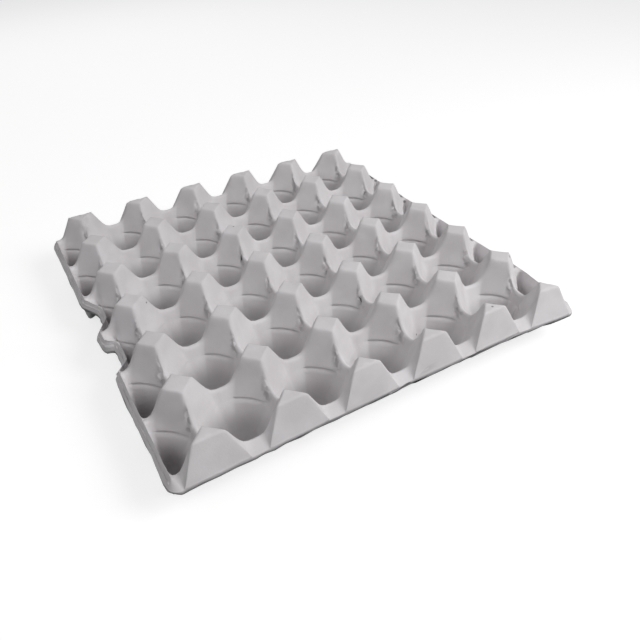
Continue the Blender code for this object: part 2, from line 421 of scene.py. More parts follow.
@dataclass
class TraySkin:
    """Builds the cages of one face of the pulp sheet.

    A sharpness is an edge's crease, from 0 for soft to 1 for sharp. The turns are the shares of a
    right angle at which the stretches of a quarter's ring meet the round of the bowl.
    """

    sizes: TraySizes
    skin: Skin
    fineness: Fineness
    weld: float = 0.0000005
    clearance: float = 0.00005
    turns: tuple[float, ...] = (0.0, 0.125, 0.375, 0.625, 0.875, 1.0)
    rounding: float = 2.2
    top_sharpness: float = 0.15
    top_inner_share: float = 0.70
    ridge_sharpness: float = 0.7
    crease_sharpness: float = 0.85
    side_sharpness: float = 0.6
    bowl_sharpness: float = 0.9
    end_sharpness: float = 0.6
    shallow_share: float = 0.15
    ragged_columns: int = 2
    ragged_rows: int = 4
    corner_steps: int = 6

    @property
    def sink(self) -> float:
        """How far below the upper side this skin lies."""
        return self.sizes.wall if self.skin is Skin.UNDER else 0.0

    @property
    def crease_row(self) -> int:
        """The row at the crease, counted back from the last one above the bowl."""
        return -3 if self.skin is Skin.UPPER else -1

    @property
    def top_radius(self) -> float:
        """Radius of this skin's bowl at the crease."""
        return self.sizes.bowl_top + self.sink

    def angles(self) -> list[float]:
        """Angles round a quarter of a bowl, one for each of its columns."""
        coarse = [(math.radians(90) * share, 0.0, 0.0) for share in self.turns]
        return [place[0] for place in divided(coarse, self.fineness.columns)]

    def row_cuts(self, row: int) -> dict[int, float]:
        """For each sign along Y, how far a row's post pockets stop short of the row line."""
        end_rows = {1: self.sizes.cups_deep - 1, -1: 0}
        return {end: self.sizes.end_cut(self.sink) * (row == at) for end, at in end_rows.items()}

    def bowl_profile(self, floor_depth: float) -> list[Section]:
        """Sections of a bowl from under the crease to its floor.

        Args:
            floor_depth: Depth of the floor's upper side.

        Returns:
            For each section its share of roundness, its radius and its depth.
        """
        s = self.sizes
        fall = floor_depth - s.crease_depth
        belly_share = (s.belly_depth - s.crease_depth) / (s.floor_depth - s.crease_depth)
        belly = s.crease_depth + fall * belly_share
        sections = []
        for depth_share, round_share in self.fineness.bowl_shares:
            depth = s.crease_depth + fall * depth_share
            if depth < belly:
                share = (depth - s.crease_depth) / (belly - s.crease_depth)
                radius = s.bowl_top + (s.belly_radius - s.bowl_top) * share
            else:
                share = (depth - belly) / (floor_depth - belly)
                radius = s.belly_radius + (s.floor_radius - s.belly_radius) * share
            sections.append((round_share, radius + self.sink, depth + self.sink * depth_share))
        sections.append((1.0, s.floor_radius + self.sink / 2, floor_depth + self.sink))
        return sections

    def drawn_in(self, ring: Ring, scale: float) -> Ring:
        """A quarter's ring drawn in towards the middle of its cup."""
        x, y = self.sizes.half_x, self.sizes.half_y
        return [(x - (x - p) * scale, y - (y - q) * scale, d) for p, q, d in ring]

    def placed(self, x: float, y: float, side: int, end: int, ring: Ring) -> Ring:
        """A quarter's ring set round the middle of its cup, by the quarter's signs."""
        s = self.sizes
        return [(x + side * (s.half_x - p), y + end * (s.half_y - q), d) for p, q, d in ring]

    def quarter_rings(self, cut: float = 0.0) -> list[Ring]:
        """Rings of a cup's quarter from its ridges down to the crease.

        Args:
            cut: How far the pocket of an end post stops short of the row line.

        Returns:
            Rings of places (p, q, depth), from the column line round to the row line.
        """
        s, sink = self.sizes, self.sink
        upper = self.skin is Skin.UPPER
        saddle = s.saddle_depth + sink
        foot = s.facet_reach(saddle, sink) - (s.ridge_edge if upper else 0.0)
        top = s.facet_reach(sink, sink) - (s.top_edge if upper else 0.0)
        ridge = [
            (0.0, s.half_y, saddle),
            (0.0, foot, saddle),
            (0.0, top, sink),
            (top - cut, cut, sink),
            (foot, 0.0, saddle),
            (s.half_x, 0.0, saddle),
        ]
        edge = s.facet_reach(s.edge_drop, sink) - s.ridge_edge
        crest = s.facet_reach(s.crest_depth, sink) - s.crest_half
        soft_edge = [
            (s.crest_half, s.half_y, s.crest_depth),
            (s.crest_half, crest, s.crest_depth),
            (s.ridge_edge, edge, s.edge_drop),
            (edge, s.ridge_edge, s.edge_drop),
            (crest, s.crest_half, s.crest_depth),
            (s.half_x, s.crest_half, s.crest_depth),
        ]
        depth = s.crease_depth + sink / 2
        inset = s.wall_inset(depth, sink)
        reach = s.facet_reach(depth, sink)
        third = (reach - 2 * inset) / 3
        arch = s.facet_reach(depth - s.crease_arch, sink) - inset - third
        crease = [
            (inset, s.half_y, depth),
            (inset, reach - inset, depth),
            (inset + third, arch, depth - s.crease_arch),
            (arch, inset + third, depth - s.crease_arch),
            (reach - inset, inset, depth),
            (s.half_x, inset, depth),
        ]
        return [ridge, soft_edge, crease] if upper else [ridge, crease]

    def fine_rings(self, rings: list[Ring], groove_share: float) -> list[Ring]:
        """Divides the coarse rings of a quarter, and adds the groove below the crease.

        Args:
            rings: Coarse rings from the ridges to the crease.
            groove_share: Share of the groove's full depth.

        Returns:
            The finer rings.
        """
        s = self.sizes
        rows = [divided(ring, self.fineness.ridge_columns) for ring in rings[:-1]]
        top, crease = rows[-1], divided(rings[-1], self.fineness.columns)
        rows += [blended(top, crease, share) for share in self.fineness.facet_rows]
        if self.skin is Skin.UNDER:
            return rows
        crease = rows[-1]
        grooved = range(self.fineness.column(1) + 1, self.fineness.column(4))
        taper = (1 - s.belly_radius / self.top_radius) / (s.belly_depth - s.crease_depth)
        for drop, push in ((s.groove_width / 2, s.groove_depth), (s.groove_width, 0.0)):
            groove = []
            for index, (p, q, depth) in enumerate(self.drawn_in(crease, 1 - drop * taper)):
                inward = push * groove_share if index in grooved else 0.0
                groove.append((p - inward, q - inward, depth + drop))
            rows.append(groove)
        return rows

    def bowl_ring(self, crease: Ring, section: Section) -> Ring:
        """One ring of a bowl's quarter below the crease.

        Args:
            crease: The ring that the bowl starts from.
            section: The bowl's share of roundness, its radius and its depth.

        Returns:
            Places (p, q, depth).
        """
        x, y = self.sizes.half_x, self.sizes.half_y
        share, radius, depth = section
        circle = [
            (x - radius * math.cos(a), y - radius * math.sin(a), depth) for a in self.angles()
        ]
        start = [(p, q, depth) for p, q, _ in self.drawn_in(crease, radius / self.top_radius)]
        return blended(start, circle, share**self.rounding)

    def add_post_quarter(self, cage: Cage, ring: Ring, cut_ring: Ring) -> None:
        """Closes the quarter of a post's top that a ring runs round.

        Args:
            cage: The cage that is added to.
            ring: The cup's first ring, in places (x, y, depth).
            cut_ring: The same ring's places (p, q, depth), by which its top is found.
        """
        first, last = self.fineness.column(2), self.fineness.column(3)
        start, end = ring[first], ring[last]
        middle = (start[0], end[1], start[2])
        if cut_ring[first][0] > cut_ring[last][0]:
            middle = (end[0], start[1], start[2])
        outer = ring[first : last + 1]
        inner = [between(middle, place, self.top_inner_share) for place in outer]
        cage.band(inner, outer, closed=False)
        for a, b in zip(inner, inner[1:]):
            cage.face(middle, a, b)
        cage.sharpen(outer, self.top_sharpness)

    def add_cup(self, cage: Cage, x: float, y: float, cuts: dict[int, float]) -> None:
        """Adds one whole cup, as four mirrored quarters.

        Args:
            cage: The cage that is added to.
            x: The cup's middle along X.
            y: The cup's middle along Y.
            cuts: For each sign along Y, how far the posts' pockets stop short of that row line.
        """
        profile = self.bowl_profile(self.sizes.floor_depth)
        quarters = []
        for side, end in ((1, 1), (-1, 1), (-1, -1), (1, -1)):
            share = 1.0 if side > 0 else self.shallow_share
            rings = self.fine_rings(self.quarter_rings(cuts[end]), share)
            crease = rings[self.crease_row]
            rings += [self.bowl_ring(crease, section) for section in profile]
            placed = [self.placed(x, y, side, end, ring) for ring in rings]
            self.add_post_quarter(cage, placed[0], rings[0])
            quarters.append(placed if side == end else [ring[::-1] for ring in placed])
        loops = [sum((part[:-1] for part in parts), []) for parts in zip(*quarters)]
        cage.bands(loops)
        cage.face(*loops[-1])
        if self.skin is Skin.UPPER:
            self.sharpen_creases(cage, quarters)

    def sharpen_creases(self, cage: Cage, quarters: list[list[Ring]]) -> None:
        """Sharpens the ridges, and the creases below the facets, round one cup.

        Args:
            cage: The cage that holds them.
            quarters: For each quarter, its rings.
        """
        first, last = self.fineness.column(1), self.fineness.column(4)
        top = slice(self.fineness.column(2), self.fineness.column(3) + 1)
        bowl = -1 - len(self.fineness.bowl_shares)
        crease = bowl + self.crease_row
        for rings in quarters:
            cage.sharpen(rings[0], self.ridge_sharpness)
            cage.sharpen(rings[0][top], self.top_sharpness)
            for ring in rings[crease:bowl]:
                cage.sharpen(ring[first : last + 1], self.crease_sharpness)
            for ring in rings[1 : self.ragged_rows]:
                if ring[first][0] > rings[-1][first][0] and ring[first][1] > rings[-1][first][1]:
                    cage.roughen(ring[first : first + self.ragged_columns])
            for column in (first, last):
                side = [ring[column] for ring in rings]
                cage.sharpen(side[1 : crease + 1], self.side_sharpness)
                cage.sharpen(side[bowl - 1 : -2], self.bowl_sharpness)

    def stops(self, side: Side, row: int) -> list[tuple[float, float]]:
        """Where a hollow's outer wall turns at its top.

        Args:
            side: The side on which the hollow lies.
            row: The hollow's row.

        Returns:
            Places along Y and insets, from back to front.
        """
        s = self.sizes
        back = (row + 1) * s.pitch_y - s.post_y
        front = row * s.pitch_y - s.post_y
        stops = [(back, 0.0), (front, 0.0)]
        insets = (0.0, s.notch_inset, s.notch_inset, 0.0)
        for notch in (s.back_notch, s.front_notch):
            if side is Side.LEFT and front < notch[1] < back:
                stops[1:1] = list(zip(notch, insets))
        return stops

    def wall_line(
        self, side: Side, row: int, half: float, wall: float, deep: float | None = None
    ) -> Ring:
        """One level of a hollow's outer wall, from back to front.

        Args:
            side: The side on which the hollow lies.
            row: The hollow's row.
            half: Half the length of the wall at that level.
            wall: How far out the wall stands, where it is not notched.
            deep: The inset of the whole wall, or None where it follows the notch.

        Returns:
            Places (x, y, 0), with x counted outwards.
        """
        s = self.sizes
        middle = s.middle_y(row)
        line = []
        for y, inset in self.stops(side, row):
            out = wall - (inset if deep is None else deep)
            line.append((out, middle + (y - middle) * half * 2 / s.pitch_y, 0.0))
        if len(line) == 2:
            return divided(line, (even(self.fineness.wall_columns),))
        return divided(line, (even(1), *[even(2)] * (len(line) - 3), even(1)))

    def hollow_quarter(self, cut: float, deep: float, groove_share: float) -> list[Ring]:
        """Rings of a half hollow's quarter from its ridges down to the crease.

        Args:
            cut: How far the pocket of an end post stops short of the row line.
            deep: The inset of the outer wall at the crease.
            groove_share: Share of the groove's full depth.

        Returns:
            Rings of places (p, q, depth), which end at the outer wall.
        """
        s = self.sizes
        rings = self.quarter_rings(cut)
        for ring in rings:
            depth = ring[0][2]
            out = s.side_wall(depth, self.sink) - (deep if ring is rings[-1] else 0.0) - s.post_x
            ring[-1] = (out, ring[-1][1], depth)
            if out < ring[-2][0]:
                ring[-2] = (out - self.clearance, *ring[-2][1:])
        return self.fine_rings(rings, groove_share)

    def hollow_bowl_ring(self, crease: Ring, section: Section, deep: float) -> Ring:
        """One ring of a half hollow's quarter below the crease.

        Args:
            crease: The ring at the crease.
            section: The bowl's share of roundness, its radius and its depth.
            deep: The inset of the outer wall.

        Returns:
            Places (p, q, depth).
        """
        s, sink = self.sizes, self.sink
        share, radius, depth = section
        least = s.notch_floor_half + sink
        wall = s.side_wall(depth, sink) - deep - s.post_x
        crease_wall = s.side_wall(s.crease_depth + sink, sink) - deep - s.post_x
        width = max(wall - s.half_x + radius, least)
        crease_width = max(crease_wall - s.half_x + self.top_radius, least)
        scale = radius / self.top_radius
        ring = []
        for a, (p, q, _) in zip(self.angles(), crease):
            reach = (crease_wall - p) * scale * width / crease_width
            start = (wall - max(reach, 0.0), s.half_y - (s.half_y - q) * scale, depth)
            circle = (wall - width * math.cos(a), s.half_y - radius * math.sin(a), depth)
            ring.append(between(start, circle, share**self.rounding))
        return ring

    def add_hollow(self, cage: Cage, side: Side, row: int) -> None:
        """Adds one half hollow between the outer posts and the tray's left or right wall.

        Args:
            cage: The cage that is added to.
            side: The side on which it lies.
            row: Its row, counted from the front.
        """
        s = self.sizes
        x, y = side.value * (s.post_x + s.half_x), s.middle_y(row)
        notched = len(self.stops(side, row)) > 2
        deep = s.notch_inset if notched else 0.0
        share = 1.0 if side is Side.LEFT else self.shallow_share
        followed = 2 if self.skin is Skin.UPPER else 1
        halves = [self.hollow_quarter(cut, deep, share) for cut in self.row_cuts(row).values()]
        rows, crease = len(halves[0]), halves[0][self.crease_row]
        for section in self.bowl_profile(s.notch_floor_depth if notched else s.floor_depth):
            ring = self.hollow_bowl_ring(crease, section, deep)
            for rings in halves:
                rings.append(ring)
        quarters = []
        for end, rings in zip((1, -1), halves):
            quarters.append([self.placed(x, y, -side.value, end, ring) for ring in rings])
            self.add_post_quarter(cage, quarters[-1][0], rings[0])
        levels = []
        for index, (back, front) in enumerate(zip(*quarters)):
            p, q, depth = halves[0][index][-1]
            half = s.half_y - q
            inset = None if index < followed else 0.0
            line = self.wall_line(side, row, half, s.post_x + p, inset)
            if notched and followed <= index < rows + self.crease_row:
                top = self.wall_line(side, row, half, s.side_wall(depth, self.sink))
                line = blended(top, line, index / (rows - 1))
            outer = [(side.value * a, b, depth) for a, b, _ in line[::-1][1:-1]]
            levels.append(back[::-1] + front[1:] + outer)
        cage.bands(levels)
        cage.face(*levels[-1])
        if self.skin is Skin.UPPER:
            self.sharpen_creases(cage, quarters)

    def end_line(self, end: End) -> tuple[Ring, Ring]:
        """The end row's section line and the bare edge below it.

        Args:
            end: The end along which they run.

        Returns:
            Two lines of as many places, from left to right.
        """
        s, sink = self.sizes, self.sink
        quarter = divided(self.quarter_rings(s.end_cut(sink))[0], self.fineness.ridge_columns)
        flank = quarter[self.fineness.column(3) :]
        middle = (0.0, flank[0][1], sink)
        half = [middle, between(middle, flank[0], self.top_inner_share), *flank]
        profile = [(-p, q, d) for p, q, d in half[::-1]] + half[1:]
        straight = s.rim_x - s.corner_radius
        corner = s.side_wall(s.saddle_depth + sink, sink) - self.weld
        inner: Ring = []
        outer: Ring = []
        for column in range(s.cups_across + 1):
            x = column * s.pitch_x - s.post_x
            for p, q, d in profile:
                if column == 0 and p < -s.half_x + self.weld:
                    p = s.post_x - s.side_wall(d, sink)
                if column == s.cups_across and p > s.half_x - self.weld:
                    p = s.side_wall(d, sink) - s.post_x
                place = (x + p, end.value * (s.post_y - q), d)
                if inner and math.dist(inner[-1], place) < self.weld:
                    continue
                between_posts = abs(abs(p) - s.half_x) < self.weld
                edge_x = x + (p if between_posts or p == 0 else math.copysign(s.end_foot, p))
                if abs(x + p) > corner:
                    edge_x = math.copysign(straight, x + p)
                edge_x = max(-straight, min(straight, edge_x))
                inner.append(place)
                outer.append((edge_x, end.value * s.rim_y, s.lip_depth + sink))
        return inner, outer

    def side_line(self, side: Side) -> tuple[Ring, Ring]:
        """The outer wall's top and the bare edge beside it.

        Args:
            side: The side along which they run.

        Returns:
            Two lines of as many places, from back to front.
        """
        s, sink = self.sizes, self.sink
        saddle, lip = s.saddle_depth + sink, s.lip_depth + sink
        straight = s.rim_y - s.corner_radius
        inner: Ring = []
        outer: Ring = []
        for row in reversed(range(s.cups_deep)):
            line = self.wall_line(side, row, s.half_y, s.side_wall(saddle, sink))
            edge = self.wall_line(side, row, s.half_y, s.rim_x)
            for (a, b, _), (c, e, _) in zip(line, edge):
                place = (side.value * a, b, saddle)
                if inner and math.dist(inner[-1], place) < self.weld:
                    continue
                inner.append(place)
                outer.append((side.value * c, max(-straight, min(straight, e)), lip))
        return inner, outer

    def corner_arc(self, side: Side, end: End) -> Ring:
        """The bare edge round a corner, from the end to the side.

        Args:
            side: The corner's side.
            end: The corner's end.

        Returns:
            Its places.
        """
        s = self.sizes
        r = s.corner_radius
        x, y = s.rim_x - r, s.rim_y - r
        arc = []
        for step in range(self.corner_steps + 1):
            a = math.radians(90) * step / self.corner_steps
            place = (side.value * (x + r * math.sin(a)), end.value * (y + r * math.cos(a)))
            arc.append((*place, s.lip_depth + self.sink))
        return arc

    def add_border(self, cage: Cage) -> None:
        """Adds the cut faces, the shelves between them and the lip, all round the tray.

        Args:
            cage: The cage that is added to.
        """
        inner, outer = self.end_line(End.BACK)
        turns = (
            (Side.RIGHT, End.BACK, self.side_line(Side.RIGHT)),
            (Side.RIGHT, End.FRONT, [line[::-1] for line in self.end_line(End.FRONT)]),
            (Side.LEFT, End.FRONT, [line[::-1] for line in self.side_line(Side.LEFT)]),
            (Side.LEFT, End.BACK, ([], [])),
        )
        for side, end, (line, edge) in turns:
            arc = self.corner_arc(side, end)
            if side.value * end.value < 0:
                arc.reverse()
            inner += [inner[-1]] * (len(arc) - 2) + line
            outer += arc[1:-1] + edge
        levels = [inner, *(blended(inner, outer, share) for share in self.fineness.border_rows)]
        cage.bands(levels)
        if self.skin is Skin.UPPER:
            self.sharpen_ends(cage, levels)

    def sharpen_ends(self, cage: Cage, levels: list[Ring]) -> None:
        """Sharpens the edges of the cut faces.

        Args:
            cage: The cage that holds them.
            levels: The border's lines, from the section line out to the bare edge.
        """
        s = self.sizes
        flat = s.facet_reach(0.0, 0.0) - s.top_edge
        for index, (x, y, depth) in enumerate(levels[0]):
            if abs(abs(y) - s.post_y) > self.weld or depth > self.weld:
                continue
            off = (x + s.post_x + s.half_x) % s.pitch_x - s.half_x
            if abs(abs(off) - flat) < self.clearance:
                cage.sharpen([level[index] for level in levels], self.end_sharpness)
            after = levels[0][(index + 1) % len(levels[0])]
            if after[2] < self.weld:
                cage.sharpen([(x, y, depth), after], self.end_sharpness)

    def cup_cell(self) -> bpy.types.Object:
        """Builds one cup in the middle of the tray, ready to be repeated.

        Returns:
            The new object.
        """
        cage = Cage(self.sizes.height, self.weld)
        self.add_cup(cage, 0.0, 0.0, {1: 0.0, -1: 0.0})
        return cage.finish("cup_cell")

    def surround(self, with_cups: bool) -> bpy.types.Object:
        """Builds the side hollows and the border, and the cups too where they are not repeated.

        Args:
            with_cups: Whether the cups are built here.

        Returns:
            The new object.
        """
        s = self.sizes
        cage = Cage(s.height, self.weld)
        for column in range(s.cups_across if with_cups else 0):
            for row in range(s.cups_deep):
                self.add_cup(cage, s.middle_x(column), s.middle_y(row), self.row_cuts(row))
        for side in Side:
            for row in range(s.cups_deep):
                self.add_hollow(cage, side, row)
        self.add_border(cage)
        return cage.finish(f"{self.skin.value}_surround")


class Nodes:
    """Adds nodes to a tree."""

    def __init__(self, tree: bpy.types.NodeTree) -> None:
        """Takes the tree."""
        self.tree = tree

    def feed(self, node: bpy.types.Node, links: dict) -> None:
        """Fills inputs of a node.

        Args:
            node: The node.
            links: For each input, by name or number, a socket to link or a value to set.
        """
        for where, value in links.items():
            if isinstance(value, bpy.types.NodeSocket):
                self.tree.links.new(value, node.inputs[where])
            else:
                node.inputs[where].default_value = value

    def node(self, kind: str, links: dict | None = None, **settings: object) -> bpy.types.Node:
        """Adds a node.

        Args:
            kind: The node's type.
            links: What its inputs are fed.
            settings: Attributes of the node.

        Returns:
            The new node.
        """
        made = self.tree.nodes.new(kind)
        for name, value in settings.items():
            setattr(made, name, value)
        self.feed(made, links or {})
        return made

    def math(self, operation: str, *values: object, kind: str = "Math") -> bpy.types.NodeSocket:
        """Adds a Math or VectorMath node and gives its result."""
        made = self.node(f"ShaderNode{kind}", dict(enumerate(values)), operation=operation)
        return made.outputs[0]

    def ranged(
        self,
        value: bpy.types.NodeSocket,
        source: tuple[float, float],
        target: tuple[float, float],
        **settings: object,
    ) -> bpy.types.NodeSocket:
        """Adds a Map Range node.

        Args:
            value: The value that is mapped.
            source: Its range.
            target: The range that it is mapped to.
            settings: Attributes of the node.

        Returns:
            The result.
        """
        links = {"Value": value, "From Min": source[0], "From Max": source[1]}
        links |= {"To Min": target[0], "To Max": target[1]}
        return self.node("ShaderNodeMapRange", links, **settings).outputs[0]

    def noise(
        self, vector: bpy.types.NodeSocket, scale: float, detail: float
    ) -> bpy.types.NodeSocket:
        """Adds a noise texture and gives its factor."""
        links = {"Vector": vector, "Scale": scale, "Detail": detail}
        return self.node("ShaderNodeTexNoise", links).outputs["Fac"]

    def blend(
        self, factor: bpy.types.NodeSocket, base: bpy.types.NodeSocket, over: Colour
    ) -> bpy.types.NodeSocket:
        """Lays a colour over a base by a factor and gives the result."""
        links = {0: factor, 6: base, 7: over}
        return self.node("ShaderNodeMix", links, data_type="RGBA").outputs[2]


class GeometryTree(Nodes):
    """Builds a Geometry Nodes tree with named inputs."""

    def __init__(self, name: str, sockets: dict[str, tuple[str, ...]]) -> None:
        """Starts a tree that takes and gives geometry.

        Args:
            name: The tree's name.
            sockets: For each kind, such as Float, the names of its inputs.
        """
        super().__init__(bpy.data.node_groups.new(name, "GeometryNodeTree"))
        sides = self.tree.interface
        for way in ("INPUT", "OUTPUT"):
            sides.new_socket("Geometry", in_out=way, socket_type="NodeSocketGeometry")
        self.names: dict[str, str] = {}
        for kind, labels in sockets.items():
            for label in labels:
                made = sides.new_socket(label, in_out="INPUT", socket_type=f"NodeSocket{kind}")
                self.names[label] = made.identifier
        self.inputs = self.node("NodeGroupInput").outputs

    def named(self, attribute: str) -> bpy.types.NodeSocket:
        """Reads a named attribute of the geometry."""
        node = self.node("GeometryNodeInputNamedAttribute", {"Name": attribute}, data_type="FLOAT")
        return node.outputs[0]

    def finish(self, geometry: bpy.types.NodeSocket) -> None:
        """Ends the tree in Realize Instances and Set Material.

        Args:
            geometry: The geometry that the tree gives.
        """
        real = self.node("GeometryNodeRealizeInstances", {"Geometry": geometry})
        links = {"Geometry": real.outputs[0], "Material": self.inputs["Finish"]}
        dressed = self.node("GeometryNodeSetMaterial", links)
        self.node("NodeGroupOutput", {"Geometry": dressed.outputs[0]})

    def apply(self, thing: bpy.types.Object, values: dict, name: str) -> bpy.types.Object:
        """Runs the tree on an object and keeps the result as a plain mesh.

        Args:
            thing: The object that the tree runs on, which is removed afterwards.
            values: A value for each named input.
            name: Name of the new object.

        Returns:
            The new object.
        """
        modifier = thing.modifiers.new(self.tree.name, "NODES")
        modifier.node_group = self.tree
        for label, value in values.items():
            modifier[self.names[label]] = value
        return settled(thing, name)


@dataclass(frozen=True)
class Layer:
    """One layer of unevenness, limited to what an attribute marks where it has a mask."""

    name: str
    height: float
    density: float
    mask: str = ""


def cup_repeat_tree() -> GeometryTree:
    """Builds the tree that repeats one cup, joins the surround to it and smooths both.

    Returns:
        The tree.
    """
    sockets = {
        "Object": ("Surround",),
        "Int": ("Cups Across", "Cups Deep", "Fineness"),
        "Float": ("Pitch X", "Pitch Y", "Weld Distance"),
        "Material": ("Finish",),
    }
    tree = GeometryTree("repeated cups", sockets)
    given = tree.inputs
    grid = {}
    for axis, count in (("X", given["Cups Across"]), ("Y", given["Cups Deep"])):
        steps = tree.math("SUBTRACT", count, 1.0)
        grid[f"Size {axis}"] = tree.math("MULTIPLY", steps, given[f"Pitch {axis}"])
        grid[f"Vertices {axis}"] = count
    points = tree.node("GeometryNodeMeshGrid", grid).outputs[0]
    links = {"Points": points, "Instance": given["Geometry"]}
    cups = tree.node("GeometryNodeInstanceOnPoints", links)
    real = tree.node("GeometryNodeRealizeInstances", {"Geometry": cups.outputs[0]})
    surround = tree.node("GeometryNodeObjectInfo", {"Object": given["Surround"]})
    joined = tree.node("GeometryNodeJoinGeometry", {0: real.outputs[0]})
    tree.feed(joined, {0: surround.outputs["Geometry"]})
    links = {"Geometry": joined.outputs[0], "Distance": given["Weld Distance"]}
    welded = tree.node("GeometryNodeMergeByDistance", links)
    links = {"Mesh": welded.outputs[0], "Level": given["Fineness"]}
    links["Edge Crease"] = tree.named("crease_edge")
    tree.finish(tree.node("GeometryNodeSubdivisionSurface", links).outputs[0])
    return tree


def uneven_pulp_tree(layers: tuple[Layer, ...]) -> GeometryTree:
    """Builds the tree that makes the finished sheet uneven and gives it a slight bow.

    Args:
        layers: The layers of unevenness.

    Returns:
        The tree.
    """
    labels = [f"{layer.name} {what}" for layer in layers for what in ("Height", "Density")]
    labels += ["Layer Detail", "Seed", "Slide", "Slide Power", "Half Width"]
    labels += ["Bow Across", "Bow Along", "Twist", "Bow Rise", "Height Share"]
    tree = GeometryTree("uneven pulp", {"Float": tuple(labels), "Material": ("Finish",)})
    given = tree.inputs
    position = tree.node("GeometryNodeInputPosition").outputs[0]
    offset = (0.0, 0.0, 0.0)
    for layer in layers:
        links = {"Vector": position, "W": given["Seed"], "Scale": given[f"{layer.name} Density"]}
        links["Detail"] = given["Layer Detail"]
        clouds = tree.node("ShaderNodeTexNoise", links, noise_dimensions="4D").outputs["Color"]
        centred = tree.math("SUBTRACT", clouds, (0.5, 0.5, 0.5), kind="VectorMath")
        amount = given[f"{layer.name} Height"]
        if layer.mask:
            amount = tree.math("MULTIPLY", amount, tree.named(layer.mask))
        scaled = tree.math("MULTIPLY", centred, amount, kind="VectorMath")
        offset = tree.math("ADD", offset, scaled, kind="VectorMath")
    x, y, z = tree.node("ShaderNodeSeparateXYZ", {0: position}).outputs
    across, along, twist = (
        tree.math("MULTIPLY", tree.math("MULTIPLY", a, b), given[name])
        for a, b, name in ((x, x, "Bow Across"), (y, y, "Bow Along"), (x, y, "Twist"))
    )
    rise = tree.math("ADD", twist, given["Bow Rise"])
    bow = tree.math("ADD", tree.math("ADD", across, along), rise)
    height = tree.math("ADD", tree.math("MULTIPLY", z, given["Height Share"]), bow)
    reach = tree.math("ABSOLUTE", tree.math("DIVIDE", x, given["Half Width"]))
    held = tree.math("SUBTRACT", 1.0, tree.math("POWER", reach, given["Slide Power"]))
    slid = tree.math("ADD", x, tree.math("MULTIPLY", given["Slide"], held))
    bent = tree.node("ShaderNodeCombineXYZ", {0: slid, 1: y, 2: height}).outputs[0]
    links = {"Geometry": given["Geometry"], "Position": bent, "Offset": offset}
    moved = tree.node("GeometryNodeSetPosition", links)
    tree.finish(tree.node("GeometryNodeSetShadeSmooth", {0: moved.outputs[0]}).outputs[0])
    return tree


